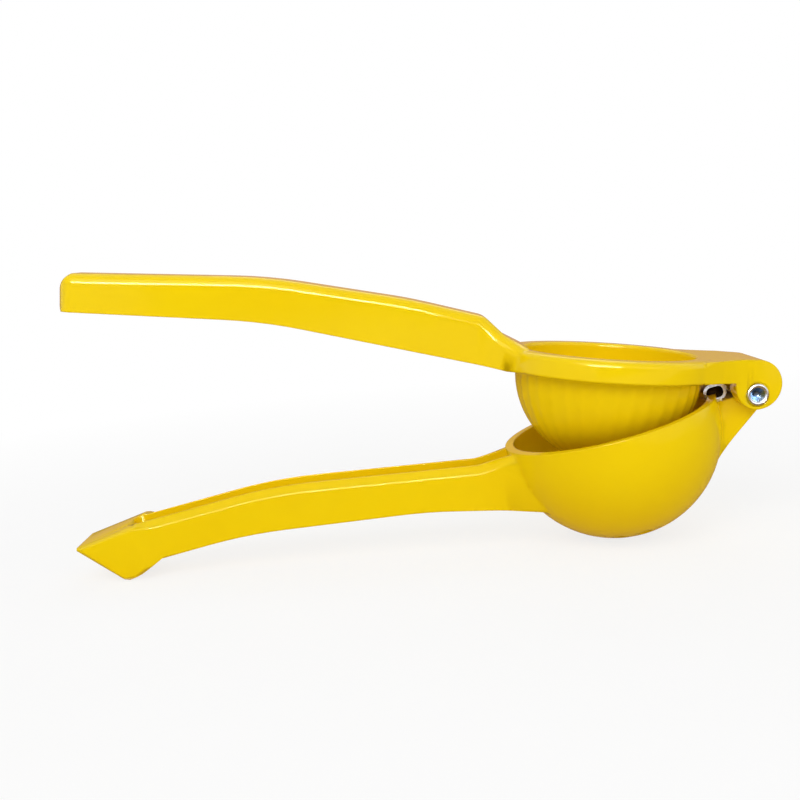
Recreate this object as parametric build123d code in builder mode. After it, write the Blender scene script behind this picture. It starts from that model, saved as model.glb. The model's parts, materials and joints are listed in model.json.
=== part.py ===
from build123d import *
from math import acos, asin, atan2, cos, degrees, hypot, radians, sin, sqrt
import os

os.makedirs("parts", exist_ok=True)

# Hinged citrus squeezer in millimetres.
# It is drawn shut: bowl axis on Z, bowl rim at Z = 0, hinge towards +X, handles towards -X.
# At the end it is opened by rest_opening and stood on the bowl and the end of its lower handle.

# ---- driving dimensions ----
bowl_radius = 33.25          # outside of the strainer bowl
bowl_wall = 2.6
bowl_skirt = 4.0             # straight wall between the rim and the hemisphere
drain_hole_radius = 2.1
drain_ring_pitch = 7.4       # from one ring of drain holes to the next

dome_radius = 28.5           # outside of the press dome
dome_wall = 2.3
flute_count = 36
flute_width = 3.4            # across a flute at the surface of the dome
flute_depth = 0.55
flute_sweep = 62.0           # degrees down the dome before a flute has run out

ring_radius = 32.5           # collar round the mouth of the press dome
ring_height = 6.7
ring_ease = 1.8              # eased outer edge on top of the collar
ring_foot_ease = 0.6
mouth_ease = 0.9
rim_gap = 0.45               # between the collar and the bowl rim when shut

hinge_reach = 43.5           # bowl axis to hinge pin
hinge_drop = 2.85            # pin below the bowl rim
hinge_width = 23.0           # over the two ears at the pin
hinge_taper = 0.13           # the ears draw in by this much for each millimetre along
hinge_root_share = 0.66      # half width of the hinge block on the collar, as a share of its radius
hinge_wall_bend = 40.0
ear_thickness = 3.8
ear_boss_radius = 4.6
ear_lobe_radius = 7.5
ear_front_reach = 6.3        # front edge of the ears ahead of the pin
ear_toe_drop = 0.3           # its lower corner below the pin
hinge_web = 2.4
hinge_block_rise = 0.5       # top of the hinge block above the collar
hinge_block_sink = 0.3       # it comes out of the collar from this far below its top
hollow_corner = 1.8
lug_inset = 0.3              # the lug stays inside the ears by this much
lug_side_gap = 0.2
arm_top_drop = 2.6           # top of the hinge arm below the bowl rim
arm_root_drop = 20.4         # bottom of the hinge arm below the rim where it leaves the bowl
arm_flare = 5.0              # extra half width of the arm where it meets the bowl
arm_flare_slope = 1.1        # the flare starts by narrowing this much for each millimetre along
arm_foot_share = 0.80        # lower corner of the arm inside the bowl wall, as a share of the bowl radius
arm_root_share = 0.72        # the flare starts here, as a share of the bowl radius

rivet_radius = 2.0
rivet_head_radius = 3.5
rivet_head_height = 1.3
rivet_dimple_radius = 2.4
rivet_lip_drop = 0.26        # the rolled rim falls by this much towards the dimple
rivet_seat_depth = 0.6
rivet_seat_gap = 0.3
pin_clearance = 0.05

strap_thickness = 0.9
strap_width = 11.0
strap_loop_length = 7.0
strap_loop_height = 5.4
strap_loop_round = 2.5
strap_reach = 10.7           # hinge pin to the middle of the loop
strap_tail_slope = 48.0      # degrees below level
strap_tail_sink = 1.2        # how far the tail runs down into its slot in the arm

handle_reach = 169.0         # bowl axis to the end of the press handle
handle_width = 16.0
handle_wall = 2.6
handle_round = 3.2           # along the back of the press handle
back_ease = 2.3              # along the outer corners of the open edge of the bowl handle
handle_bend = 160.0          # radius of the slow bends of both handles
tip_round = 4.8              # of the press handle, seen from above
tip_lean = 4.0               # its back starts this far in from its end
root_round = 6.0             # small bends where a handle meets the collar or the bowl
root_flare_run = 6.0         # a handle starts to widen this far out from the collar or the bowl
root_flare_round = 16.0
root_depth_share = 0.66      # the widened root ends this far from the axis, as a share of the radius
press_root_share = 0.54      # half its width there, as a share of the radius
bowl_root_share = 0.40
press_grip_rise = 11.6       # open edge of the press handle above the bowl rim along the grip
press_grip_depth = 11.7      # at its end
press_bend_share = 0.63      # where the handle starts to fall, as a share of its reach
press_bend_depth = 13.4
press_knee_share = 0.37
press_knee_rise = 20.4       # back of the handle above the bowl rim there
press_step_run = 7.0         # step down to the collar, measured out from the collar
press_step_height = 9.1      # back of the handle above the collar at the step
press_foot_height = 3.6      # back of the handle above the collar at the foot of the step

stop_reach = 171.0           # bowl axis to the end of the bowl handle
grip_share = 0.9             # the channel ends here, as a share of the reach
bowl_grip_rise = 10.4        # open edge of the bowl handle above the bowl rim near its end
bowl_grip_depth = 12.4
bowl_bend_share = 0.62       # where the open edge starts to fall, as a share of the reach
bowl_bend_rise = 10.0
bowl_root_run = 10.0         # lowest spot of the open edge, measured out from the bowl
bowl_root_drop = 1.5         # it lies this far below the bowl rim
bowl_back_share = 0.69       # where the back starts to fall
bowl_back_drop = 2.1
bowl_knee_share = 0.363
bowl_knee_drop = 10.9
bowl_heel_drop = 21.6        # back of the handle below the rim where it ends inside the bowl wall
stop_length = 20.0           # thick finger stop at the end of the bowl handle
stop_flare = 2.6             # extra half width of the finger stop
stop_run = 7.8               # in which the stop draws in to the width of the handle
stop_end_drop = 1.8          # top of the end face below the open edge
stop_crest_rise = 0.2        # top of the stop above the open edge at its widest
stop_toe_rise = 0.5          # its underside slopes up by this much
stop_drop = 3.6              # how far the finger stop hangs below the grip
stop_slant = 13.0            # the end face slopes back by this much
stop_ease = 1.0
stop_sink = 0.6              # its inner end runs into the sides of the handle by this much

rest_opening = 19.0          # degrees the press lever is lifted as it is shown

# ---- sizes that follow ----
half_hinge = hinge_width / 2
half_hollow = half_hinge - ear_thickness
half_lug = half_hollow - lug_side_gap
half_handle = handle_width / 2
bore_radius = rivet_radius + pin_clearance
seat_radius = rivet_head_radius + rivet_seat_gap
ring_top = rim_gap + ring_height
block_top = ring_top + hinge_block_rise
mouth_radius = dome_radius - dome_wall
bowl_inner = bowl_radius - bowl_wall
bowl_bottom = bowl_skirt + bowl_radius
pin_at = (hinge_reach, -hinge_drop)
pin_axis = Axis((hinge_reach, 0, -hinge_drop), (0, 1, 0))
lug_radius = ear_boss_radius - lug_inset
lug_front = hinge_reach - lug_radius
ear_front = hinge_reach - ear_front_reach


def along_bar(side_face, plan_face):
    """Solid that shows side_face from the side and plan_face from above."""
    with BuildPart() as bar:
        extrude(side_face, amount=bowl_radius, both=True)
        extrude(plan_face, amount=2 * bowl_bottom, both=True, mode=Mode.INTERSECT)
    return bar.part


def tangent_spot(radius, x, y):
    """Where a line from (x, y) touches a circle of this radius about the origin, on the left of it."""
    away = hypot(x, y)
    turn = atan2(y, x) + acos(radius / away)
    return radius * cos(turn), radius * sin(turn)


def lowered(points, drop):
    """The same points this much further down."""
    return [(x, z - drop) for x, z in points]


def flared_plan(reach, root_radius, root_share):
    """Half outline of a handle from above: straight, then widening towards the round body at its root."""
    root_end = -root_radius * root_depth_share
    line = FilletPolyline(
        (-reach, half_handle),
        (-root_radius - root_flare_run, half_handle),
        (root_end, root_radius * root_share),
        radius=root_flare_round,
    )
    Polyline(line @ 1, (root_end, 0), (-reach, 0), line @ 0)


# ---- press handle: a channel open underneath, rounded along its back ----
press_bend = -handle_reach * press_bend_share
press_step = (-ring_radius - press_step_run, ring_top + press_step_height)
press_back = [
    (-handle_reach + tip_lean, press_grip_rise + press_grip_depth),
    (press_bend, press_grip_rise + press_bend_depth),
    (-handle_reach * press_knee_share, press_knee_rise),
    press_step,
]
press_step_foot = (-ring_radius - rim_gap, ring_top + press_foot_height)

with BuildSketch(Plane.XZ) as press_side:
    with BuildLine():
        back_line = FilletPolyline(
            *press_back,
            press_step_foot,
            (-mouth_radius, ring_top + hinge_block_rise),
            radius=(handle_bend, handle_bend, root_round, root_round),
        )
        edge_line = FilletPolyline(
            (-ring_radius, rim_gap),
            (press_bend, press_grip_rise),
            (-handle_reach + tip_lean / 4, press_grip_rise),
            radius=handle_bend,
        )
        Polyline(back_line @ 1, (-mouth_radius, rim_gap), (-ring_radius, rim_gap))
        ThreePointArc(
            edge_line @ 1,
            (-handle_reach, press_grip_rise + press_grip_depth / 2),
            back_line @ 0,
        )
    make_face()

with BuildSketch() as press_plan:
    with BuildLine():
        flared_plan(handle_reach, ring_radius, press_root_share)
    make_face()
    fillet(press_plan.vertices().group_by(Axis.X)[0].sort_by(Axis.Y)[-1], tip_round)
    mirror(about=Plane.XZ)

press_channel_end = -ring_radius - handle_wall
with BuildSketch(Plane.XZ) as press_channel_side:
    with BuildLine():
        ceiling = FilletPolyline(
            *lowered(press_back[:-1], handle_wall),
            (press_step[0] - handle_wall / 2, press_step[1] - handle_wall),
            (press_channel_end, ring_top + handle_wall / 2),
            radius=(handle_bend, handle_bend, root_round / 2),
        )
        Polyline(
            ceiling @ 1,
            (press_channel_end, -handle_wall),
            (-handle_reach, -handle_wall),
            (-handle_reach, (ceiling @ 0).Y),
            ceiling @ 0,
        )
    make_face()

with BuildSketch() as press_channel_plan:
    with Locations(((press_channel_end - handle_reach + handle_wall) / 2, 0)):
        RectangleRounded(
            handle_reach + press_channel_end - handle_wall,
            handle_width - 2 * handle_wall,
            handle_wall,
        )

press_channel = along_bar(press_channel_side.sketch, press_channel_plan.sketch)
with BuildPart() as press_handle:
    add(along_bar(press_side.sketch, press_plan.sketch))
    top_edges = press_handle.edges().filter_by(lambda e: e.length > handle_reach / 4).group_by(Axis.Z)[-1]
    fillet(top_edges, handle_round)
    add(press_channel, mode=Mode.SUBTRACT)

# ---- one flute of the dome: a groove that fades out towards the bottom ----
flute_shift = flute_depth / (1 - cos(radians(flute_sweep)))
with BuildPart() as flute:
    with BuildSketch(Plane.XY.offset(rim_gap)):
        with BuildLine():
            Polyline(
                (dome_radius - flute_depth, 0),
                (dome_radius + flute_depth, flute_width),
                (dome_radius + flute_depth, -flute_width),
                close=True,
            )
        make_face()
    revolve(axis=Axis((-flute_shift, 0, rim_gap), (0, 1, 0)), revolution_arc=flute_sweep)

# ---- hinge block: two ears under a closed top, run out to the collar by drawn-in walls ----
block_root = (sqrt(1 - hinge_root_share**2) * ring_radius, hinge_root_share * ring_radius)
block_end = hinge_reach + 2 * ear_lobe_radius
with BuildSketch(Plane.XZ) as block_side:
    with BuildLine():
        CenterArc(pin_at, ear_boss_radius, 0, 360)
        CenterArc((hinge_reach, block_top - ear_lobe_radius), ear_lobe_radius, 0, 360)
        Line((ear_front, rim_gap), (ear_front, -hinge_drop - ear_toe_drop))
    make_hull()
    with BuildLine():
        Polyline(
            (block_root[0], rim_gap),
            (block_root[0], ring_top - hinge_block_sink),
            (ear_front, block_top),
            (hinge_reach, block_top),
            (hinge_reach, rim_gap),
            close=True,
        )
    make_face()

ear_corner = (ear_front, half_hinge + ear_front_reach * hinge_taper)
wall_run = hypot(ear_corner[0] - block_root[0], block_root[1] - ear_corner[1])
wall_turn = asin((block_root[1] - ear_corner[1]) / wall_run) - atan2(hinge_taper, 1)
wall_bend_limit = wall_run * 0.9 * cos(wall_turn / 2) / sin(wall_turn / 2)
with BuildSketch() as block_plan:
    with BuildLine():
        block_wall = FilletPolyline(
            block_root,
            ear_corner,
            (block_end, half_hinge - (block_end - hinge_reach) * hinge_taper),
            radius=min(hinge_wall_bend, wall_bend_limit),
        )
        Polyline(block_wall @ 1, (block_end, 0), (block_root[0], 0), block_wall @ 0)
    make_face()
    mirror(about=Plane.XZ)

hollow_front = dome_radius + rim_gap
with BuildPart() as block_hollow:
    with BuildSketch(Plane.XY.offset(block_top - hinge_web)):
        with Locations((hollow_front, 0)):
            Rectangle(
                hinge_reach,
                2 * half_hollow,
                align=(Align.MIN, Align.CENTER),
            )
    extrude(amount=-2 * dome_radius)
    fillet(block_hollow.edges().filter_by(Axis.Z).sort_by(Axis.X)[:2], hollow_corner)

with BuildPart() as rivet_seats:
    for side in (1, -1):
        with BuildSketch(Plane.XZ.offset(side * (half_hinge - rivet_seat_depth))):
            with Locations(pin_at):
                Circle(seat_radius)
        extrude(amount=side * ear_thickness)
    with BuildSketch(Plane.XZ):
        with Locations(pin_at):
            Circle(bore_radius)
    extrude(amount=hinge_width, both=True)

with BuildPart() as press_lever:
    with BuildSketch(Plane.XZ):
        with BuildLine():
            RadiusArc((0, rim_gap - dome_radius), (dome_radius, rim_gap), -dome_radius)
            Polyline(
                (dome_radius, rim_gap),
                (ring_radius - ring_foot_ease, rim_gap),
                (ring_radius, rim_gap + ring_foot_ease),
                (ring_radius, ring_top - ring_ease),
                (ring_radius - ring_ease / 4, ring_top - ring_ease / 3),
                (ring_radius - ring_ease, ring_top),
                (0, ring_top),
                (0, rim_gap - dome_radius),
            )
        make_face()
    revolve(axis=Axis.Z)
    add(press_handle.part)
    add(along_bar(block_side.sketch, block_plan.sketch))
    add(block_hollow.part, mode=Mode.SUBTRACT)
    add(rivet_seats.part, mode=Mode.SUBTRACT)
    with BuildSketch(Plane.XZ):
        with BuildLine():
            RadiusArc((0, rim_gap - mouth_radius), (mouth_radius, rim_gap), -mouth_radius)
            Polyline(
                (mouth_radius, rim_gap),
                (mouth_radius, ring_top - mouth_ease),
                (mouth_radius + mouth_ease / 3, ring_top - mouth_ease / 4),
                (mouth_radius + mouth_ease, ring_top),
                (mouth_radius + mouth_ease, 2 * ring_top),
                (0, 2 * ring_top),
                (0, rim_gap - mouth_radius),
            )
        make_face()
    revolve(axis=Axis.Z, mode=Mode.SUBTRACT)
    with PolarLocations(0, flute_count):
        add(flute.part, mode=Mode.SUBTRACT)

# ---- bowl handle: a channel open on top, with a thick finger stop at its end ----
grip_end = -stop_reach * grip_share
bowl_root = -bowl_radius * root_depth_share
bowl_rail = [
    (grip_end, bowl_grip_rise),
    (-stop_reach * bowl_bend_share, bowl_bend_rise),
    (-bowl_radius - bowl_root_run, -bowl_root_drop),
    (bowl_root, -bowl_root_drop / 2),
]
bowl_back = [
    (grip_end, bowl_grip_rise - bowl_grip_depth),
    (-stop_reach * bowl_back_share, -bowl_back_drop),
    (-stop_reach * bowl_knee_share, -bowl_knee_drop),
    (bowl_root, -bowl_heel_drop),
]

with BuildSketch(Plane.XZ) as bowl_side:
    with BuildLine():
        rail = FilletPolyline(*bowl_rail, radius=(handle_bend, root_round))
        keel = FilletPolyline(*bowl_back, radius=handle_bend)
        Line(rail @ 1, keel @ 1)
        Line(rail @ 0, keel @ 0)
    make_face()

with BuildSketch() as bowl_plan:
    with BuildLine():
        flared_plan(stop_reach, bowl_radius, bowl_root_share)
    make_face()
    mirror(about=Plane.XZ)

stop_start = stop_length - stop_reach
stop_low = bowl_grip_rise - bowl_grip_depth - stop_drop
with BuildSketch(Plane.XZ) as stop_side:
    with BuildLine():
        Polyline(
            (-stop_reach, bowl_grip_rise - stop_end_drop),
            (stop_start, bowl_grip_rise + stop_crest_rise),
            (stop_start + stop_run, bowl_grip_rise - handle_wall),
            (stop_start + stop_run, bowl_grip_rise - bowl_grip_depth + stop_ease),
            (stop_start - stop_flare, stop_low + stop_toe_rise),
            (-stop_reach + stop_slant, stop_low),
            close=True,
        )
    make_face()

with BuildSketch() as stop_plan:
    with BuildLine():
        Polyline(
            (-stop_reach, 0),
            (-stop_reach, half_handle + stop_flare - stop_ease),
            (stop_start, half_handle + stop_flare),
            (stop_start + stop_run, half_handle - stop_sink),
            (stop_start + stop_run, 0),
            close=True,
        )
    make_face()
    mirror(about=Plane.XZ)

with BuildSketch(Plane.XZ) as bowl_channel_side:
    with BuildLine():
        floor = FilletPolyline(*lowered(bowl_back, -handle_wall), radius=handle_bend)
        Polyline(
            floor @ 1,
            ((floor @ 1).X, 2 * bowl_grip_rise),
            ((floor @ 0).X, 2 * bowl_grip_rise),
            floor @ 0,
        )
    make_face()

with BuildSketch() as bowl_channel_plan:
    with Locations((grip_end, 0)):
        RectangleRounded(
            stop_reach,
            handle_width - 2 * handle_wall,
            handle_wall,
            align=(Align.MIN, Align.CENTER),
        )

with BuildPart() as finger_stop:
    add(along_bar(stop_side.sketch, stop_plan.sketch))
    chamfer(finger_stop.edges().filter_by(lambda e: e.center().X < stop_start), stop_ease)

with BuildPart() as bowl_handle:
    add(along_bar(bowl_side.sketch, bowl_plan.sketch))
    longest_edges = bowl_handle.edges().sort_by(SortBy.LENGTH)[-2:]
    chamfer(longest_edges, back_ease)
    add(finger_stop.part)
    add(along_bar(bowl_channel_side.sketch, bowl_channel_plan.sketch), mode=Mode.SUBTRACT)

# ---- hinge arm of the bowl, ending in a round lug between the ears ----
arm_foot = (bowl_radius * arm_foot_share, -arm_root_drop)
heel_x, heel_z = tangent_spot(lug_radius, arm_foot[0] - hinge_reach, arm_foot[1] + hinge_drop)
with BuildSketch(Plane.XZ) as arm_side:
    with BuildLine():
        Polyline(
            (arm_foot[0], -arm_top_drop),
            (hinge_reach, -arm_top_drop),
            pin_at,
            (hinge_reach + heel_x, heel_z - hinge_drop),
            arm_foot,
            close=True,
        )
    make_face()
    with Locations(pin_at):
        Circle(lug_radius)

arm_root = bowl_radius * arm_root_share
arm_flare_end = ear_front - 2 * rim_gap
with BuildSketch() as arm_plan:
    with BuildLine():
        arm_curve = Spline(
            (arm_root, half_lug + arm_flare),
            (arm_flare_end, half_lug),
            tangents=[(1, -arm_flare_slope), (1, 0)],
        )
        Polyline(
            arm_curve @ 1,
            (hinge_reach + 2 * lug_radius, half_lug),
            (hinge_reach + 2 * lug_radius, 0),
            (arm_root, 0),
            arm_curve @ 0,
        )
    make_face()
    mirror(about=Plane.XZ)

# ---- steel strap: a flat loop on the arm with a tail held in a slot ----
strap_middle = (hinge_reach - strap_reach, strap_loop_height / 2 - arm_top_drop)
notch_start = strap_middle[0] - strap_loop_length / 2 - rim_gap
strap_tail_start = strap_middle[0] + (strap_loop_length - strap_loop_round) / 2
tail_run = strap_loop_height / sin(radians(strap_tail_slope)) + strap_tail_sink
with BuildSketch(Plane.XZ) as tail_side:
    with Locations((strap_tail_start, strap_loop_height - arm_top_drop)):
        Rectangle(
            tail_run,
            strap_thickness,
            rotation=-strap_tail_slope,
            align=(Align.MIN, Align.MAX),
        )

with BuildPart() as bowl_lever:
    with BuildSketch(Plane.XZ):
        with BuildLine():
            RadiusArc((0, -bowl_bottom), (bowl_radius, -bowl_skirt), -bowl_radius)
            Polyline((bowl_radius, -bowl_skirt), (bowl_radius, 0), (0, 0), (0, -bowl_bottom))
        make_face()
    revolve(axis=Axis.Z)
    add(bowl_handle.part)
    add(along_bar(arm_side.sketch, arm_plan.sketch))
    with BuildSketch(Plane.XZ):
        with BuildLine():
            RadiusArc((0, -bowl_skirt - bowl_inner), (bowl_inner, -bowl_skirt), -bowl_inner)
            Polyline(
                (bowl_inner, -bowl_skirt),
                (bowl_inner, bowl_skirt),
                (0, bowl_skirt),
                (0, -bowl_skirt - bowl_inner),
            )
        make_face()
    revolve(axis=Axis.Z, mode=Mode.SUBTRACT)
    add(rivet_seats.part, mode=Mode.SUBTRACT)
    with BuildSketch(Plane.XY.offset(-arm_top_drop)):
        with Locations((notch_start, 0)):
            Rectangle(lug_front - notch_start, strap_width + 4 * rim_gap, align=(Align.MIN, Align.CENTER))
    extrude(amount=arm_top_drop, mode=Mode.SUBTRACT)
    extrude(tail_side.sketch, amount=strap_width / 2, both=True, mode=Mode.SUBTRACT)
    with BuildSketch(Plane.XY.offset(-2 * bowl_bottom)):
        Circle(drain_hole_radius)
        for ring in (1, 2):
            with PolarLocations(ring * drain_ring_pitch, 6 * ring):
                Circle(drain_hole_radius)
    extrude(amount=2 * bowl_bottom - bowl_skirt, mode=Mode.SUBTRACT)

with BuildPart() as steel_strap:
    with BuildSketch(Plane.XZ):
        with Locations(strap_middle):
            RectangleRounded(strap_loop_length, strap_loop_height, strap_loop_round)
        add(tail_side.sketch)
        with Locations(strap_middle):
            RectangleRounded(
                strap_loop_length - 2 * strap_thickness,
                strap_loop_height - 2 * strap_thickness,
                strap_loop_round - strap_thickness,
                mode=Mode.SUBTRACT,
            )
    extrude(amount=strap_width / 2, both=True)

# ---- rivet: plain domed head on one side, rolled and dimpled on the other ----
head_face = half_hinge - rivet_seat_depth
rivet_rim_height = rivet_head_height / 3
rivet_cap_rise = rivet_head_height - rivet_rim_height
rivet_cap_radius = (rivet_head_radius**2 + rivet_cap_rise**2) / (2 * rivet_cap_rise)
rivet_lip_radius = (rivet_head_radius + rivet_dimple_radius) / 2
with BuildPart() as hinge_rivet:
    with BuildSketch(Plane.XY.offset(-hinge_drop)):
        with BuildLine():
            Polyline(
                (hinge_reach + rivet_head_radius, head_face + rivet_rim_height),
                (hinge_reach + rivet_head_radius, head_face),
                (hinge_reach + rivet_radius, head_face),
                (hinge_reach + rivet_radius, -head_face),
                (hinge_reach + rivet_head_radius, -head_face),
                (hinge_reach + rivet_head_radius, -head_face - rivet_head_height / 2),
                (hinge_reach + rivet_lip_radius, -head_face - rivet_head_height),
                (hinge_reach + rivet_dimple_radius, -head_face - rivet_head_height + rivet_lip_drop),
                (hinge_reach + rivet_dimple_radius / 3, -head_face + rivet_seat_depth),
                (hinge_reach, -head_face + rivet_seat_depth),
                (hinge_reach, head_face + rivet_head_height),
            )
            RadiusArc(
                (hinge_reach, head_face + rivet_head_height),
                (hinge_reach + rivet_head_radius, head_face + rivet_rim_height),
                rivet_cap_radius,
            )
        make_face()
    revolve(axis=pin_axis)

# ---- open it, stand it on the bowl and the finger stop, and centre it on the floor ----
foot = Vector(stop_slant - stop_reach, 0, stop_low)
bowl_middle = Vector(0, 0, -bowl_skirt)
span = bowl_middle - foot
stand_turn = degrees(asin(bowl_radius / span.length) - atan2(span.Z, span.X))

pieces = {
    "bowl_lever": bowl_lever.part,
    "press_lever": press_lever.part.rotate(pin_axis, rest_opening),
    "hinge_rivet": hinge_rivet.part.rotate(pin_axis, rest_opening),
    "steel_strap": steel_strap.part,
}
stood = {name: piece.rotate(Axis.Y, -stand_turn) for name, piece in pieces.items()}
box = Compound(list(stood.values())).bounding_box()
home = Location((-box.center().X, 0, -box.min.Z))
for name, piece in stood.items():
    placed = piece.moved(home)
    placed.label = name
    export_step(placed, f"parts/{name}.step")
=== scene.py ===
"""Hinged citrus squeezer: yellow enamel levers, a clinched steel rivet and a bent steel strap."""

import json
import math

import bmesh
import bpy
import numpy as np
from bpy.props import FloatProperty, FloatVectorProperty, IntProperty, PointerProperty
from mathutils import Matrix, Vector


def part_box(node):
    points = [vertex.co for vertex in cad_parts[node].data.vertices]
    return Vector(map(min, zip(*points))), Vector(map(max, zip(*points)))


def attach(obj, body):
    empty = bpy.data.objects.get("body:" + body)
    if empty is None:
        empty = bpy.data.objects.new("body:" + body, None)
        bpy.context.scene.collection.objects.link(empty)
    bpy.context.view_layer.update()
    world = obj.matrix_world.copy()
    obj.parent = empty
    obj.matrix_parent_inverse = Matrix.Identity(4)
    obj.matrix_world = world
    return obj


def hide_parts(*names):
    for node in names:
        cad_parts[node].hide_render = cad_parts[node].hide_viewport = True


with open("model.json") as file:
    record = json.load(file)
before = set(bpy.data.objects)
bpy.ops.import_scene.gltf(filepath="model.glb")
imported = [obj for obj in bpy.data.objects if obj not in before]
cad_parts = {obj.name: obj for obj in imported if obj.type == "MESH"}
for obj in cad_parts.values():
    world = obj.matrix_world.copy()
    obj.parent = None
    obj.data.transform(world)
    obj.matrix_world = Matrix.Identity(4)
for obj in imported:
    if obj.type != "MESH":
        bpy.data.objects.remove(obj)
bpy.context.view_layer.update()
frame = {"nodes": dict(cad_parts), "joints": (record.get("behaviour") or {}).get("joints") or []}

bl_info = {
    "name": "Hinged Citrus Squeezer",
    "version": (1, 0, 0),
    "blender": (4, 5, 0),
    "location": "View3D > Sidebar > Squeezer",
    "description": "Finishes the levers, rivet and strap of a hinged citrus squeezer and sets up its stage",
    "category": "Object",
}

MM = 0.001

# Copies of CAD nodes: corners closer than MERGE_DISTANCE are joined, and with EVEN_WEIGHT over 50 the larger
# faces lead the shading. Edges that turn by less than the smooth angles, in degrees, are shaded smooth.
MERGE_DISTANCE = 0.002 * MM
EVEN_WEIGHT = 60
LEVER_SMOOTH_BELOW = 25.0
STRAP_SMOOTH_BELOW = 38.0

# Rivet: its radius is RIVET_INSET under the CAD rivet's, and heights and depths are measured from its two
# ends. DIMPLE_FLOOR_SHARE is a share of the dimple's radius, and the other shares are of the rivet's.
# RIVET_ROUNDING is in millimetres, for each inner corner of the half outline.
RIVET_INSET = 0.12 * MM
HEAD_HEIGHT = 1.3 * MM
DOME_HEIGHT = 0.85 * MM
RIM_DROP = 0.35 * MM
SHANK_STEP = 0.05 * MM
DIMPLE_DEPTH = 1.95 * MM
DIMPLE_FLOOR_DEPTH = 1.9 * MM
DIMPLE_LIP_DROP = 0.25 * MM
DIMPLE_FADE = 0.25 * MM
DIMPLE_SHARE = 0.68
SHANK_SHARE = 0.57
DOME_SHARE = 0.6
DIMPLE_FLOOR_SHARE = 0.32
RIVET_ROUNDING = (0.3, 0.3, 0.25, 0.3, 0.12, 0.1, 0.1, 0.12, 0.1, 0.9)
ROUNDING_STEPS = 7

# Strap's loop: outer length and height, wall, set-back of its dark painted-shade core, and its turn in
# degrees.
LOOP_LENGTH = 7.0 * MM
LOOP_HEIGHT = 5.4 * MM
LOOP_WALL = 0.85 * MM
LOOP_RECESS = 0.7 * MM
LOOP_TURN = 11.53

# Enamel: a scale is in waves per metre, a fineness multiplies the coarser scale, and a range is the part of
# the noise that is used. EDGE_TURN is the cosine of the turn at a flat place and at a crisp edge.
PEEL_FINENESS = 6.0
PEEL_SHARE = 0.12
TONE_SCALE = 38.0
TONE_RANGE = (0.35, 0.75)
TONE_SHARE = 0.16
SMUDGE_SIZE = 18.0 * MM
SMUDGE_RANGE = (0.45, 0.75)
SMUDGE_ROUGHNESS = 0.16
WIPE_FINENESS = 4.0
WIPE_STRETCH = (1.0, 5.0, 7.0)
WIPE_RANGE = (0.4, 0.8)
EDGE_SAMPLES = 6
EDGE_TURN = (0.98, 0.80)
WEAR_SCALE = 420.0
WORN_ROUGHNESS = 0.3
ENAMEL_IOR = 1.5
ENAMEL_SPECULAR = 0.28
ENAMEL_SPECULAR_TINT = (1.0, 0.85, 0.42, 1.0)

# Steel: scale and range of its duller patches, how dark and rough they are, and how rough each piece is.
STEEL_PATCH_SCALE = 900.0
STEEL_PATCH_RANGE = (0.35, 0.7)
DULL_SHARE = 0.72
DULL_ROUGHNESS = 0.14
RIVET_ROUGHNESS = 0.16
STRAP_ROUGHNESS = 0.12
CORE_ROUGHNESS = 0.5

# Floor: the paper's two tones, the colour of the light it throws back, the share of plain glow near the
# object, and the distances in metres over which that share rises to 1.
WHITE = (1.0, 1.0, 1.0, 1.0)
PAPER_SCALE = 60.0
PAPER_ROUGHNESS = 0.9
PAPER_DARK = (0.86, 0.86, 0.86, 1.0)
PAPER_LIGHT = (0.90, 0.90, 0.90, 1.0)
FLOOR_BOUNCE = (0.86, 0.80, 0.70, 1.0)
FLOOR_GLOW = 0.80
FLOOR_FADE = (0.15, 0.40)

# Lamps: places, what they face and sizes (across, up), in metres.
LAMP_TARGET = (0.0, 0.0, 0.05)
LAMP_SIZE = (0.5, 0.5)
KEY_PLACE = (-0.2, -0.6, 0.6)
FILL_PLACE = (0.5, -0.6, 0.35)
BACK_PLACE = (0.1, 0.7, 0.5)
STRIP_PLACE = (-0.105, -0.70, 0.33)
STRIP_TARGET = (-0.05, 0.0, 0.09)
STRIP_SIZE = (0.45, 0.15)

# Cards: name, two opposite corners in metres, and colour.
CARDS = (
    ("warm_card", (-1.2, 0.7, 0.0), (1.2, 0.7, 0.6), (0.56, 0.30, 0.22)),
    ("low_card", (-1.2, -0.22, 0.001), (1.2, 0.7, 0.001), (0.40, 0.24, 0.10)),
    ("dark_card", (-0.3, -0.9, 0.02), (1.0, -0.9, 0.20), (0.04, 0.05, 0.07)),
)

# Camera: degrees above level, degrees of roll, metres from its aim, the aim in metres from the pin, and the
# width of its sensor in millimetres.
CAMERA_HEIGHT = 8.4
CAMERA_ROLL = 4.67
CAMERA_DISTANCE = 0.33125
CAMERA_AIM = (-0.107661, 0.0, 0.005456)
SENSOR_WIDTH = 36.0


def pin_place():
    """Middle of the hinge pin, from the record's hinge joint."""
    for joint in frame["joints"]:
        if joint["name"] == "lever_hinge":
            return Vector(joint["pos_m"])
    raise RuntimeError("the record has no lever_hinge")


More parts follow.
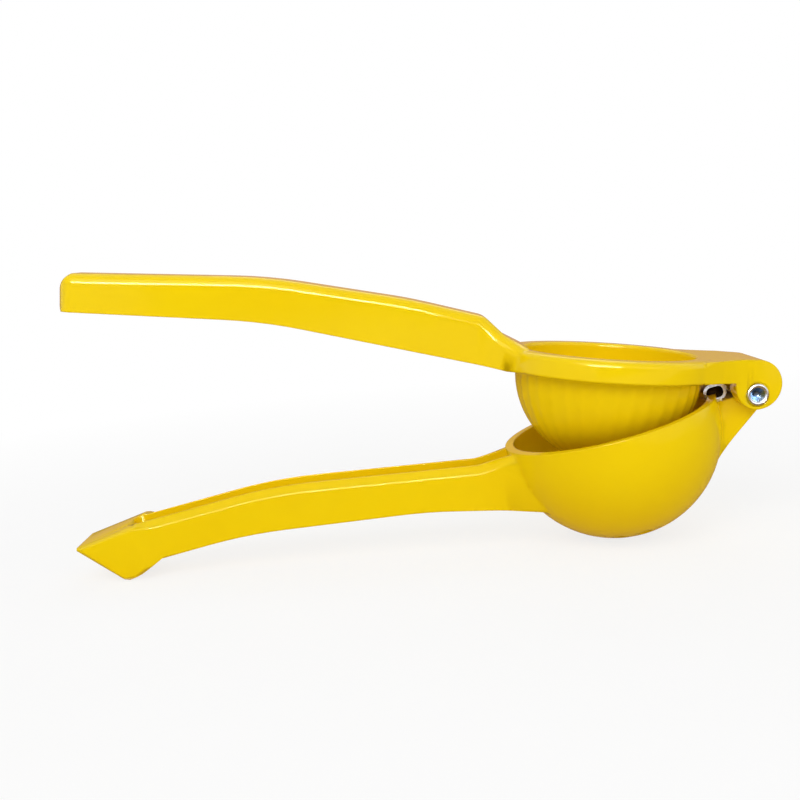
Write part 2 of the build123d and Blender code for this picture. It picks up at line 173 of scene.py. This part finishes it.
# ---- settings that a user would change ----
class EnamelSettings(bpy.types.PropertyGroup):
    colour: FloatVectorProperty(
        name="Enamel colour",
        description="Colour of the enamel in plain light",
        subtype="COLOR",
        size=3,
        min=0.0,
        max=1.0,
        default=(0.91, 0.655, 0.003),
    )
    deep_colour: FloatVectorProperty(
        name="Deep colour",
        description="Warmer tone where the enamel lies thick",
        subtype="COLOR",
        size=3,
        min=0.0,
        max=1.0,
        default=(0.80, 0.44, 0.002),
    )
    worn_colour: FloatVectorProperty(
        name="Worn colour",
        description="Colour of the enamel where an edge is worn dull",
        subtype="COLOR",
        size=3,
        min=0.0,
        max=1.0,
        default=(0.55, 0.36, 0.06),
    )
    gloss: FloatProperty(
        name="Roughness",
        description="Roughness of clean enamel",
        subtype="FACTOR",
        min=0.02,
        max=1.0,
        default=0.10,
    )
    peel_size: FloatProperty(
        name="Peel size",
        description="Width of the slow waves in the enamel skin",
        unit="LENGTH",
        min=0.0002,
        max=0.02,
        default=0.0035,
    )
    peel_height: FloatProperty(
        name="Peel height",
        description="Height of the waves in the enamel skin",
        unit="LENGTH",
        min=0.0,
        max=0.0005,
        default=0.00002,
    )
    edge_radius: FloatProperty(
        name="Edge radius",
        description="Radius that the enamel rounds a crisp edge to",
        unit="LENGTH",
        min=0.0,
        max=0.003,
        default=0.0007,
    )
    wear: FloatProperty(
        name="Wear",
        description="How much of the sharpest edges is worn dull",
        subtype="FACTOR",
        min=0.0,
        max=1.0,
        default=0.25,
    )


class SteelSettings(bpy.types.PropertyGroup):
    rivet_colour: FloatVectorProperty(
        name="Rivet colour",
        description="Colour of the rivet steel",
        subtype="COLOR",
        size=3,
        min=0.0,
        max=1.0,
        default=(0.66, 0.68, 0.72),
    )
    # Painted shade: the dark bluish colour given to the rivet's dimple, where its hollow lies in shade.
    dimple_shade_colour: FloatVectorProperty(
        name="Dimple colour",
        description="Colour of the punched dimple in the rivet",
        subtype="COLOR",
        size=3,
        min=0.0,
        max=1.0,
        default=(0.13, 0.18, 0.25),
    )
    strap_colour: FloatVectorProperty(
        name="Strap colour",
        description="Colour of the bright strap",
        subtype="COLOR",
        size=3,
        min=0.0,
        max=1.0,
        default=(0.82, 0.82, 0.84),
    )
    # Painted shade: colour of the dark bar that fills the strap's loop, where it lies in shadow.
    shade_core_colour: FloatVectorProperty(
        name="Core colour",
        description="Colour of the dark inside of the strap's loop",
        subtype="COLOR",
        size=3,
        min=0.0,
        max=1.0,
        default=(0.035, 0.018, 0.008),
    )
    mark_pitch: FloatProperty(
        name="Mark pitch",
        description="Spacing of the fine tool marks",
        unit="LENGTH",
        min=0.00005,
        max=0.005,
        default=0.0003,
    )
    mark_depth: FloatProperty(
        name="Mark depth",
        description="Depth of the fine tool marks",
        unit="LENGTH",
        min=0.0,
        max=0.0002,
        default=0.000006,
    )


class StageSettings(bpy.types.PropertyGroup):
    floor_size: FloatProperty(
        name="Floor size",
        description="Side of the square floor",
        unit="LENGTH",
        min=0.5,
        max=200.0,
        default=80.0,
    )
    sky_level: FloatProperty(
        name="Sky level",
        description="Strength of the even light from all round",
        min=0.0,
        max=2.0,
        default=0.50,
    )
    key_power: FloatProperty(
        name="Key power",
        description="Power of the broad lamp above the object",
        unit="POWER",
        min=0.0,
        max=100.0,
        default=3.0,
    )
    fill_power: FloatProperty(
        name="Fill power",
        description="Power of the broad lamp beside the camera",
        unit="POWER",
        min=0.0,
        max=100.0,
        default=1.0,
    )
    back_power: FloatProperty(
        name="Back power",
        description="Power of the broad lamp behind the object",
        unit="POWER",
        min=0.0,
        max=100.0,
        default=1.2,
    )
    strip_power: FloatProperty(
        name="Strip power",
        description="Power of the narrow lamp that draws the thin highlights",
        unit="POWER",
        min=0.0,
        max=100.0,
        default=14.0,
    )
    lens: FloatProperty(
        name="Lens",
        description="Focal length of the camera",
        subtype="DISTANCE_CAMERA",
        min=10.0,
        max=200.0,
        default=47.7,
    )


class SqueezerSettings(bpy.types.PropertyGroup):
    enamel: PointerProperty(type=EnamelSettings, name="Enamel", description="Finish of the two levers")
    steel: PointerProperty(type=SteelSettings, name="Steel", description="Finish of the rivet and strap")
    stage: PointerProperty(type=StageSettings, name="Stage", description="Floor, lamps and camera")
    around: IntProperty(
        name="Steps round",
        description="Steps round a turned piece",
        min=24,
        max=256,
        default=96,
    )


# ---- surfaces ----
def add_object(name, data):
    """An object that holds this data, linked to the scene."""
    thing = bpy.data.objects.new(name, data)
    bpy.context.scene.collection.objects.link(thing)
    return thing


def new_piece(name, points, faces):
    """A smooth-shaded mesh object at the origin from an array of points and a list of faces."""
    mesh = bpy.data.meshes.new(name)
    mesh.from_pydata(points.tolist(), [], faces)
    mesh.validate()
    mesh.shade_smooth()
    return add_object(name, mesh)


def turned(radii, heights, middle, steps):
    """Points and faces of a solid turned about a line along Y through middle.

    Ring i has radius radii[i] at heights[i] along Y; point (i, j) stands at the angle 2 pi j / steps:
    x = middle.x + radii[i] cos(angle), y = middle.y + heights[i], z = middle.z + radii[i] sin(angle).
    The first and last radius are 0, and each of those rings is one point.
    """
    angle = np.arange(steps) * (2 * np.pi / steps)
    inner = radii[1:-1, None]
    x = middle.x + inner * np.cos(angle)
    y = middle.y + np.broadcast_to(heights[1:-1, None], x.shape)
    z = middle.z + inner * np.sin(angle)
    rings = np.stack([x, y, z], axis=-1).reshape(-1, 3)
    ends = [(middle.x, middle.y + height, middle.z) for height in heights[[0, -1]]]
    points = np.vstack([rings, ends])

    row = np.arange(steps)
    after = (row + 1) % steps
    below = np.arange(len(inner) - 1)[:, None] * steps
    above = below + steps
    quads = np.stack([below + row, below + after, above + after, above + row], axis=-1).reshape(-1, 4)
    first, last = len(rings), len(rings) + 1
    top = len(rings) - steps
    start = np.stack([after, row, np.full(steps, first)], axis=-1)
    finish = np.stack([top + row, top + after, np.full(steps, last)], axis=-1)
    return points, quads.tolist() + start.tolist() + finish.tolist()


def eased(corners, radii, count):
    """A line through corners with each inner corner rounded by a quadratic curve.

    The curve at a corner starts and ends that corner's radius away from it, along its two sides. Its point
    at t is (1 - t)^2 start + 2 t (1 - t) corner + t^2 end, for count evenly spaced values of t from 0 to 1.
    """
    corners = np.asarray(corners, float)
    t = np.linspace(0, 1, count)[:, None]
    line = [corners[:1]]
    for corner, radius, before, behind in zip(corners[1:-1], radii, corners[:-2], corners[2:]):
        start = corner + (before - corner) / np.linalg.norm(before - corner) * radius
        end = corner + (behind - corner) / np.linalg.norm(behind - corner) * radius
        line.append((1 - t) ** 2 * start + 2 * t * (1 - t) * corner + t**2 * end)
    line.append(corners[-1:])
    return np.vstack(line)


def merged_copy(node, name, smooth_below):
    """A piece with the shape of a CAD node.

    Corners at one place are joined, and edges that turn by less than smooth_below degrees are smooth.
    """
    mesh = bpy.data.meshes.new(name)
    work = bmesh.new()
    work.from_mesh(frame["nodes"][node].data)
    bmesh.ops.remove_doubles(work, verts=work.verts, dist=MERGE_DISTANCE)
    work.to_mesh(mesh)
    work.free()
    mesh.materials.clear()
    mesh.shade_smooth()
    mesh.set_sharp_from_angle(angle=math.radians(smooth_below))
    piece = add_object(name, mesh)
    shading = piece.modifiers.new("even_shading", "WEIGHTED_NORMAL")
    shading.keep_sharp = True
    shading.weight = EVEN_WEIGHT
    return piece


# ---- node trees ----
def put(tree, kind, values=None, **settings):
    """A node of this kind with its settings, and its inputs fed by sockets or set to values."""
    node = tree.nodes.new(kind)
    for key, value in settings.items():
        setattr(node, key, value)
    for key, value in (values or {}).items():
        if isinstance(value, bpy.types.NodeSocket):
            tree.links.new(value, node.inputs[key])
        else:
            node.inputs[key].default_value = value
    return node


def math_node(tree, operation, first, second=0.0):
    """The result socket of a Math node."""
    return put(tree, "ShaderNodeMath", {0: first, 1: second}, operation=operation).outputs[0]


def remap(tree, value, low, high, new_low=0.0, new_high=1.0):
    """value taken from low..high to new_low..new_high, held at the ends."""
    values = {"Value": value, "From Min": low, "From Max": high, "To Min": new_low, "To Max": new_high}
    return put(tree, "ShaderNodeMapRange", values, clamp=True).outputs["Result"]


def mix_colour(tree, share, first, second):
    """first and second mixed by share."""
    node = put(tree, "ShaderNodeMix", {0: share, 6: first, 7: second}, data_type="RGBA", clamp_factor=True)
    return node.outputs[2]


def noise(tree, place, scale, detail, **more):
    """Noise from 0 to 1 at place."""
    values = {"Vector": place, "Scale": scale, "Detail": detail, **more}
    return put(tree, "ShaderNodeTexNoise", values).outputs[0]


def distance_from_y(tree, place):
    """Distance of place from the Y axis."""
    flat = put(tree, "ShaderNodeVectorMath", {0: place, 1: (1.0, 0.0, 1.0)}, operation="MULTIPLY").outputs[0]
    return put(tree, "ShaderNodeVectorMath", {0: flat}, operation="LENGTH").outputs["Value"]


def begin_group(name, inputs, outputs):
    """An empty shader node group with these (name, socket type, default) inputs and (name, type) outputs."""
    tree = bpy.data.node_groups.new(name, "ShaderNodeTree")
    for label, kind, default in inputs:
        socket = tree.interface.new_socket(name=label, in_out="INPUT", socket_type=kind)
        if default is not None:
            socket.default_value = default
    for label, kind in outputs:
        tree.interface.new_socket(name=label, in_out="OUTPUT", socket_type=kind)
    return tree, tree.nodes.new("NodeGroupInput").outputs, tree.nodes.new("NodeGroupOutput").inputs


def enamel_skin_group():
    """Height of a fired enamel skin: slow waves with a finer orange peel on them."""
    name = "enamel_skin"
    if name in bpy.data.node_groups:
        return bpy.data.node_groups[name]
    tree, given, made = begin_group(
        name,
        [("Place", "NodeSocketVector", None), ("Size", "NodeSocketFloat", 0.0035)],
        [("Height", "NodeSocketFloat")],
    )
    scale = math_node(tree, "DIVIDE", 1.0, given["Size"])
    slow = noise(tree, given["Place"], scale, 2.0, Roughness=0.45)
    fine = noise(tree, given["Place"], math_node(tree, "MULTIPLY", scale, PEEL_FINENESS), 1.0)
    peel = math_node(tree, "MULTIPLY", fine, PEEL_SHARE)
    tree.links.new(math_node(tree, "ADD", slow, peel), made["Height"])
    return tree


def handling_group():
    """Mask of faint wipe marks and finger smudges, which dull a glossy face."""
    name = "handling_marks"
    if name in bpy.data.node_groups:
        return bpy.data.node_groups[name]
    tree, given, made = begin_group(
        name,
        [("Place", "NodeSocketVector", None), ("Size", "NodeSocketFloat", 0.02)],
        [("Mask", "NodeSocketFloat")],
    )
    scale = math_node(tree, "DIVIDE", 1.0, given["Size"])
    patches = noise(tree, given["Place"], scale, 4.0, Distortion=0.6)
    stretched = put(tree, "ShaderNodeMapping", {"Vector": given["Place"], "Scale": WIPE_STRETCH}).outputs[0]
    wipes = noise(tree, stretched, math_node(tree, "MULTIPLY", scale, WIPE_FINENESS), 3.0)
    patch = remap(tree, patches, *SMUDGE_RANGE)
    wipe = remap(tree, wipes, *WIPE_RANGE)
    tree.links.new(math_node(tree, "MULTIPLY", patch, wipe), made["Mask"])
    return tree


def edge_wear_group():
    """Mask of crisp edges, broken up by noise: where a rounded normal turns away from the face's own."""
    name = "edge_wear"
    if name in bpy.data.node_groups:
        return bpy.data.node_groups[name]
    tree, given, made = begin_group(
        name,
        [
            ("Place", "NodeSocketVector", None),
            ("Rounded", "NodeSocketVector", None),
            ("Amount", "NodeSocketFloat", 0.25),
        ],
        [("Mask", "NodeSocketFloat")],
    )
    own = tree.nodes.new("ShaderNodeNewGeometry").outputs["Normal"]
    turn = put(tree, "ShaderNodeVectorMath", {0: own, 1: given["Rounded"]}, operation="DOT_PRODUCT")
    edge = remap(tree, turn.outputs["Value"], *EDGE_TURN)
    breakup = noise(tree, given["Place"], WEAR_SCALE, 3.0)
    limit = math_node(tree, "SUBTRACT", 1.0, given["Amount"])
    worn = math_node(tree, "GREATER_THAN", math_node(tree, "MULTIPLY", edge, breakup), limit)
    tree.links.new(worn, made["Mask"])
    return tree


def tool_marks_group():
    """Height of fine forming marks, rings about the Y axis broken by noise, and a mask of duller patches."""
    name = "tool_marks"
    if name in bpy.data.node_groups:
        return bpy.data.node_groups[name]
    tree, given, made = begin_group(
        name,
        [("Place", "NodeSocketVector", None), ("Pitch", "NodeSocketFloat", 0.0003)],
        [("Height", "NodeSocketFloat"), ("Mask", "NodeSocketFloat")],
    )
    turns = math_node(tree, "MULTIPLY", distance_from_y(tree, given["Place"]), 2 * math.pi)
    wave = math_node(tree, "SINE", math_node(tree, "DIVIDE", turns, given["Pitch"]))
    rough = noise(tree, given["Place"], STEEL_PATCH_SCALE, 4.0)
    tree.links.new(math_node(tree, "MULTIPLY", wave, rough), made["Height"])
    tree.links.new(remap(tree, rough, *STEEL_PATCH_RANGE), made["Mask"])
    return tree


# ---- materials ----
def begin_material(name):
    """A new material, its tree, its Principled BSDF and the place on the object."""
    material = bpy.data.materials.new(name)
    material.use_nodes = True
    tree = material.node_tree
    shader = tree.nodes["Principled BSDF"]
    place = tree.nodes.new("ShaderNodeTexCoord").outputs["Object"]
    return material, tree, shader, place


def enamel_material(settings):
    """Glossy fired enamel: an even colour, warmer where it lies thick, slightly wavy, dull at worn edges."""
    name = "yellow_enamel_finish"
    if name in bpy.data.materials:
        return bpy.data.materials[name]
    material, tree, shader, place = begin_material(name)
    rounded = put(tree, "ShaderNodeBevel", {"Radius": settings.edge_radius}, samples=EDGE_SAMPLES).outputs[0]
    worn = put(
        tree,
        "ShaderNodeGroup",
        {"Place": place, "Rounded": rounded, "Amount": settings.wear},
        node_tree=edge_wear_group(),
    ).outputs["Mask"]
    marks = put(
        tree,
        "ShaderNodeGroup",
        {"Place": place, "Size": SMUDGE_SIZE},
        node_tree=handling_group(),
    ).outputs["Mask"]
    skin = put(
        tree,
        "ShaderNodeGroup",
        {"Place": place, "Size": settings.peel_size},
        node_tree=enamel_skin_group(),
    ).outputs["Height"]

    thick = remap(tree, noise(tree, place, TONE_SCALE, 3.0), *TONE_RANGE, 0.0, TONE_SHARE)
    colour = mix_colour(tree, thick, (*settings.colour, 1.0), (*settings.deep_colour, 1.0))
    colour = mix_colour(tree, worn, colour, (*settings.worn_colour, 1.0))
    tree.links.new(colour, shader.inputs["Base Color"])

    dull = remap(tree, marks, 0.0, 1.0, settings.gloss, settings.gloss + SMUDGE_ROUGHNESS)
    rough = math_node(tree, "ADD", dull, math_node(tree, "MULTIPLY", worn, WORN_ROUGHNESS))
    tree.links.new(rough, shader.inputs["Roughness"])

    bump = {"Strength": 1.0, "Distance": settings.peel_height, "Height": skin, "Normal": rounded}
    tree.links.new(put(tree, "ShaderNodeBump", bump).outputs[0], shader.inputs["Normal"])
    shader.inputs["Metallic"].default_value = 0.0
    shader.inputs["IOR"].default_value = ENAMEL_IOR
    shader.inputs["Specular IOR Level"].default_value = ENAMEL_SPECULAR
    shader.inputs["Specular Tint"].default_value = ENAMEL_SPECULAR_TINT
    return material


def steel_material(name, colour, roughness, settings, dimple=None):
    """Bare steel with fine tool marks and duller patches.

    Closer to the pin's axis than dimple, if that is given, it has a painted dark bluish shade for the
    dimple's hollow.
    """
    if name in bpy.data.materials:
        return bpy.data.materials[name]
    material, tree, shader, place = begin_material(name)
    centred = put(tree, "ShaderNodeMapping", {"Vector": place, "Location": -pin_place()}).outputs[0]
    marks = put(
        tree,
        "ShaderNodeGroup",
        {"Place": centred, "Pitch": settings.mark_pitch},
        node_tree=tool_marks_group(),
    ).outputs

    darker = tuple(DULL_SHARE * channel for channel in colour)
    mixed = mix_colour(tree, marks["Mask"], (*colour, 1.0), (*darker, 1.0))
    # Painted shade: inside the dimple's radius the colour fades to a dark bluish shade.
    if dimple is not None:
        inside = remap(tree, distance_from_y(tree, centred), dimple, dimple - DIMPLE_FADE)
        mixed = mix_colour(tree, inside, mixed, (*settings.dimple_shade_colour, 1.0))
    tree.links.new(mixed, shader.inputs["Base Color"])

    rough = remap(tree, marks["Mask"], 0.0, 1.0, roughness, roughness + DULL_ROUGHNESS)
    tree.links.new(rough, shader.inputs["Roughness"])
    bump = {"Strength": 1.0, "Distance": settings.mark_depth, "Height": marks["Height"]}
    tree.links.new(put(tree, "ShaderNodeBump", bump).outputs[0], shader.inputs["Normal"])
    shader.inputs["Metallic"].default_value = 1.0
    return material


def seen_white(tree):
    """1 for rays from the camera, from gloss and through glass, and 0 for the rest."""
    path = tree.nodes.new("ShaderNodeLightPath").outputs
    both = math_node(tree, "MAXIMUM", path["Is Camera Ray"], path["Is Glossy Ray"])
    return math_node(tree, "MAXIMUM", both, path["Is Transmission Ray"])


def floor_material():
    """Pale paper that the camera and reflections see nearly white, and that throws a warmer light upwards.

    Away from the object the seen colour fades into even white, so the floor has no edge.
    """
    material, tree, shader, place = begin_material("pale_floor")
    shader.inputs["Roughness"].default_value = PAPER_ROUGHNESS
    shader.inputs["Specular IOR Level"].default_value = 0.0
    paper = mix_colour(tree, noise(tree, place, PAPER_SCALE, 4.0), PAPER_DARK, PAPER_LIGHT)
    seen = seen_white(tree)
    tree.links.new(mix_colour(tree, seen, FLOOR_BOUNCE, paper), shader.inputs["Base Color"])
    glow = put(tree, "ShaderNodeEmission", {"Color": WHITE, "Strength": 1.0})
    away = put(tree, "ShaderNodeVectorMath", {0: place}, operation="LENGTH").outputs["Value"]
    share = math_node(tree, "MULTIPLY", seen, remap(tree, away, *FLOOR_FADE, FLOOR_GLOW, 1.0))
    blend = put(tree, "ShaderNodeMixShader", {0: share, 1: shader.outputs[0], 2: glow.outputs[0]})
    tree.links.new(blend.outputs[0], tree.nodes["Material Output"].inputs["Surface"])
    return material


def card_material(name, colour):
    """An even glow of this colour."""
    material = bpy.data.materials.new(name)
    material.use_nodes = True
    tree = material.node_tree
    tree.nodes.remove(tree.nodes["Principled BSDF"])
    glow = put(tree, "ShaderNodeEmission", {"Color": (*colour, 1.0), "Strength": 1.0})
    tree.links.new(glow.outputs[0], tree.nodes["Material Output"].inputs["Surface"])
    return material


# ---- pieces ----
def finish_lever(context, node, body):
    """The enamelled piece that stands for one of the two cast levers."""
    piece = merged_copy(node, f"{node}_enamel", LEVER_SMOOTH_BELOW)
    piece.data.materials.append(enamel_material(context.scene.squeezer.enamel))
    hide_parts(node)
    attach(piece, body)


class SQUEEZER_OT_bowl_lever(bpy.types.Operator):
    """Give the strainer bowl, its handle and hinge arm their enamel"""

    bl_idname = "squeezer.bowl_lever"
    bl_label = "Bowl lever"

    def execute(self, context):
        finish_lever(context, "bowl_lever", "bowl_side")
        return {"FINISHED"}


class SQUEEZER_OT_press_lever(bpy.types.Operator):
    """Give the press dome, its collar, handle and hinge block their enamel"""

    bl_idname = "squeezer.press_lever"
    bl_label = "Press lever"

    def execute(self, context):
        finish_lever(context, "press_lever", "press_side")
        return {"FINISHED"}


def rivet_outline(near, far, head, dimple):
    """Half outline of the rivet, as points (radius, height along Y) from the dimpled end to the domed one."""
    shank = head * SHANK_SHARE
    corners = [
        (0.0, near + DIMPLE_DEPTH),
        (dimple * DIMPLE_FLOOR_SHARE, near + DIMPLE_FLOOR_DEPTH),
        (dimple, near + DIMPLE_LIP_DROP),
        ((head + dimple) / 2, near),
        (head, near + RIM_DROP),
        (head, near + HEAD_HEIGHT),
        (shank, near + HEAD_HEIGHT + SHANK_STEP),
        (shank, far - HEAD_HEIGHT),
        (head, far - HEAD_HEIGHT),
        (head, far - DOME_HEIGHT),
        (head * DOME_SHARE, far),
        (0.0, far),
    ]
    return eased(corners, [radius * MM for radius in RIVET_ROUNDING], ROUNDING_STEPS)


class SQUEEZER_OT_hinge_rivet(bpy.types.Operator):
    """Turn the rivet with its rolled, dimpled end and its domed head"""

    bl_idname = "squeezer.hinge_rivet"
    bl_label = "Hinge rivet"

    def execute(self, context):
        low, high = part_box("hinge_rivet")
        middle = pin_place()
        head = (high.x - low.x) / 2 - RIVET_INSET
        dimple = head * DIMPLE_SHARE
        line = rivet_outline(low.y - middle.y, high.y - middle.y, head, dimple)
        points, faces = turned(line[:, 0], line[:, 1], middle, context.scene.squeezer.around)
        rivet = new_piece("hinge_rivet_turned", points, faces)
        steel = context.scene.squeezer.steel
        finish = steel_material("rivet_steel_finish", steel.rivet_colour, RIVET_ROUGHNESS, steel, dimple)
        rivet.data.materials.append(finish)
        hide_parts("hinge_rivet")
        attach(rivet, "press_side")
        return {"FINISHED"}


def loop_shade_core(name, strap, steps):
    """Painted shade in the strap's loop: a dark oval bar along Y that stops short of the loop's two ends.

    Point j of a ring stands at the angle 2 pi j / steps. It lies half the bar's length times
    sign(cos) sqrt|cos| along the loop and half its height times sign(sin) sqrt|sin| above its middle.
    Both are then turned with the strap, and one more point on the bar's axis closes each end.
    """
    places = np.empty(len(strap.data.vertices) * 3)
    strap.data.vertices.foreach_get("co", places)
    places = places.reshape(-1, 3)
    cosine, sine = math.cos(math.radians(LOOP_TURN)), math.sin(math.radians(LOOP_TURN))
    along = places[:, 0] * cosine + places[:, 2] * sine
    rise = places[:, 2] * cosine - places[:, 0] * sine
    end = places[:, 1].max() - LOOP_RECESS

    angle = np.arange(steps) * (2 * np.pi / steps)
    across = (LOOP_LENGTH / 2 - LOOP_WALL) * np.sign(np.cos(angle)) * np.abs(np.cos(angle)) ** 0.5
    up = (LOOP_HEIGHT / 2 - LOOP_WALL) * np.sign(np.sin(angle)) * np.abs(np.sin(angle)) ** 0.5
    along_bar = along.min() + LOOP_LENGTH / 2 + np.append(across, 0.0)
    up_bar = rise.max() - LOOP_HEIGHT / 2 + np.append(up, 0.0)
    x = along_bar * cosine - up_bar * sine
    z = along_bar * sine + up_bar * cosine
    ends = [np.stack([x, np.full(steps + 1, y), z], axis=-1) for y in (-end, end)]
    points = np.vstack([ends[0][:-1], ends[1][:-1], ends[0][-1:], ends[1][-1:]])

    row = np.arange(steps)
    after = (row + 1) % steps
    sides = np.stack([row, row + steps, after + steps, after], axis=-1)
    near = np.stack([row, after, np.full(steps, 2 * steps)], axis=-1)
    far = np.stack([after + steps, row + steps, np.full(steps, 2 * steps + 1)], axis=-1)
    return new_piece(name, points, sides.tolist() + near.tolist() + far.tolist())


class SQUEEZER_OT_steel_strap(bpy.types.Operator):
    """Finish the bent bright strap that lies on the hinge arm, and the dark bar of painted shade in its loop
    """

    bl_idname = "squeezer.steel_strap"
    bl_label = "Steel strap"

    def execute(self, context):
        steel = context.scene.squeezer.steel
        strap = merged_copy("steel_strap", "steel_strap_bent", STRAP_SMOOTH_BELOW)
        finish = steel_material("strap_steel_finish", steel.strap_colour, STRAP_ROUGHNESS, steel)
        strap.data.materials.append(finish)
        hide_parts("steel_strap")
        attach(strap, "bowl_side")
        # Painted shade: a dark bar fills the loop, where it lies in shadow.
        core = loop_shade_core("strap_loop_shade", strap, context.scene.squeezer.around)
        dark = steel_material("painted_shade_finish", steel.shade_core_colour, CORE_ROUGHNESS, steel)
        core.data.materials.append(dark)
        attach(core, "bowl_side")
        return {"FINISHED"}


# ---- stage ----
def add_sheet(name, low, high):
    """A flat rectangle with one side along X and two opposite corners at low and high."""
    corners = [low, (high[0], low[1], low[2]), high, (low[0], high[1], high[2])]
    return new_piece(name, np.array(corners, float), [(0, 1, 2, 3)])


def add_lamp(name, place, target, size, power):
    """A white rectangular lamp of size (across, up) at place, facing target."""
    lamp = bpy.data.lights.new(name, "AREA")
    lamp.shape = "RECTANGLE"
    lamp.size, lamp.size_y = size
    lamp.energy = power
    holder = add_object(name, lamp)
    holder.location = place
    holder.rotation_euler = (Vector(target) - Vector(place)).to_track_quat("-Z", "Y").to_euler()
    return holder


def add_card(name, low, high, colour):
    """A card between two corners that shows only in glossy reflections and lights nothing else."""
    card = add_sheet(name, low, high)
    card.data.materials.append(card_material(f"{name}_face", colour))
    card.visible_camera = False
    card.visible_diffuse = False
    card.visible_transmission = False
    card.visible_shadow = False


def add_sky(scene, level):
    """A white world of this level, which the camera and reflections see as plain white."""
    world = bpy.data.worlds.new("pale_room")
    world.use_nodes = True
    scene.world = world
    sky = world.node_tree.nodes["Background"]
    sky.inputs["Color"].default_value = WHITE
    strength = remap(world.node_tree, seen_white(world.node_tree), 0.0, 1.0, level, 1.0)
    world.node_tree.links.new(strength, sky.inputs["Strength"])


def add_camera(scene, lens):
    """The camera, CAMERA_DISTANCE from its aim, looking down by CAMERA_HEIGHT and rolled by CAMERA_ROLL."""
    view = bpy.data.cameras.new("camera")
    view.lens = lens
    view.sensor_width = SENSOR_WIDTH
    camera = add_object("camera", view)
    height, roll = math.radians(CAMERA_HEIGHT), math.radians(CAMERA_ROLL)
    right = Vector((math.cos(roll), 0.0, -math.sin(roll)))
    up = Vector((math.cos(height) * math.sin(roll), math.sin(height), math.cos(height) * math.cos(roll)))
    back = Vector((math.sin(height) * math.sin(roll), -math.cos(height), math.sin(height) * math.cos(roll)))
    turn = Matrix((right, up, back)).transposed().to_4x4()
    aim = pin_place() + Vector(CAMERA_AIM)
    camera.matrix_world = Matrix.Translation(aim + back * CAMERA_DISTANCE) @ turn
    scene.camera = camera


class SQUEEZER_OT_stage(bpy.types.Operator):
    """Set up the pale floor, the lamps, the world and the camera"""

    bl_idname = "squeezer.stage"
    bl_label = "Stage"

    def execute(self, context):
        scene = context.scene
        stage = scene.squeezer.stage
        half = stage.floor_size / 2
        floor = add_sheet("floor", (-half, -half, 0.0), (half, half, 0.0))
        floor.data.materials.append(floor_material())
        add_sky(scene, stage.sky_level)
        add_lamp("key_lamp", KEY_PLACE, LAMP_TARGET, LAMP_SIZE, stage.key_power)
        add_lamp("fill_lamp", FILL_PLACE, LAMP_TARGET, LAMP_SIZE, stage.fill_power)
        add_lamp("back_lamp", BACK_PLACE, LAMP_TARGET, LAMP_SIZE, stage.back_power)
        strip = add_lamp("strip_lamp", STRIP_PLACE, STRIP_TARGET, STRIP_SIZE, stage.strip_power)
        # The narrow lamp adds highlights and no diffuse light.
        strip.visible_diffuse = False
        for name, low, high, colour in CARDS:
            add_card(name, low, high, colour)
        add_camera(scene, stage.lens)
        scene.view_settings.view_transform = "Standard"
        return {"FINISHED"}


class SQUEEZER_PT_panel(bpy.types.Panel):
    """Pieces of the squeezer"""

    bl_idname = "SQUEEZER_PT_panel"
    bl_label = "Citrus squeezer"
    bl_space_type = "VIEW_3D"
    bl_region_type = "UI"
    bl_category = "Squeezer"

    def draw(self, context):
        column = self.layout.column()
        for operator in PIECES:
            column.operator(operator.bl_idname)


PIECES = (
    SQUEEZER_OT_bowl_lever,
    SQUEEZER_OT_press_lever,
    SQUEEZER_OT_hinge_rivet,
    SQUEEZER_OT_steel_strap,
    SQUEEZER_OT_stage,
)
SETTINGS = (EnamelSettings, SteelSettings, StageSettings, SqueezerSettings)
CLASSES = SETTINGS + PIECES + (SQUEEZER_PT_panel,)


def register():
    """Add the classes and the scene's settings to Blender."""
    for each in CLASSES:
        bpy.utils.register_class(each)
    bpy.types.Scene.squeezer = PointerProperty(type=SqueezerSettings)


def unregister():
    """Take the settings and the classes out again."""
    del bpy.types.Scene.squeezer
    for each in reversed(CLASSES):
        bpy.utils.unregister_class(each)


def main():
    """Register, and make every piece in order."""
    register()
    bpy.ops.squeezer.bowl_lever()
    bpy.ops.squeezer.press_lever()
    bpy.ops.squeezer.hinge_rivet()
    bpy.ops.squeezer.steel_strap()
    bpy.ops.squeezer.stage()


if __name__ == "__main__":
    main()
